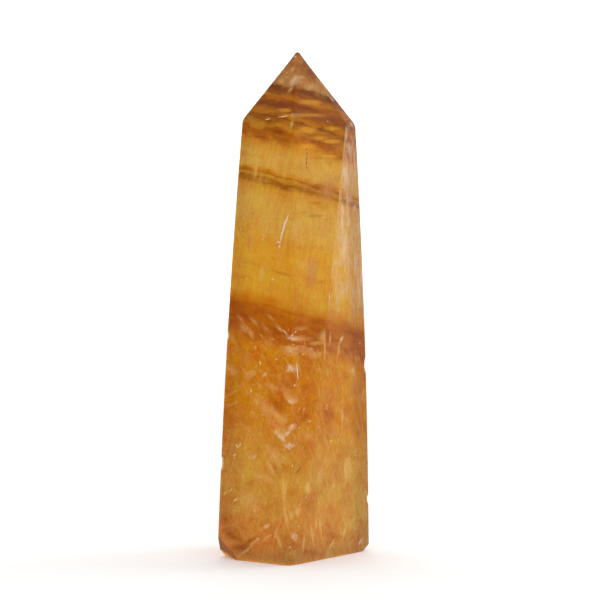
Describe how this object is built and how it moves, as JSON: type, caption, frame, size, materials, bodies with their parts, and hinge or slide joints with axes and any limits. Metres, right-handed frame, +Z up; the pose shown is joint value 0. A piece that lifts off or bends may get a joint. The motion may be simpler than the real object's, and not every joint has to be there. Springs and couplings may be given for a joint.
{
  "type": "fluorite point",
  "caption": "Polished honey-yellow fluorite point: a tapering faceted tower of banded, see-through crystal with a pointed tip, which stands on its flat foot as an ornament.",
  "frame": {"origin": "middle of the flat foot that the point stands on", "axes": "+Z up to the tip, -Y towards the side with the sharp middle ridge, +X to the right of that side"},
  "size_m": [0.027, 0.026, 0.09],
  "materials": {
    "fluorite": "polished honey-yellow fluorite with brown growth bands and pale cleavage veils"
  },
  "bodies": {
    "root": {"fluorite_point": "fluorite"}
  },
  "joints": []
}
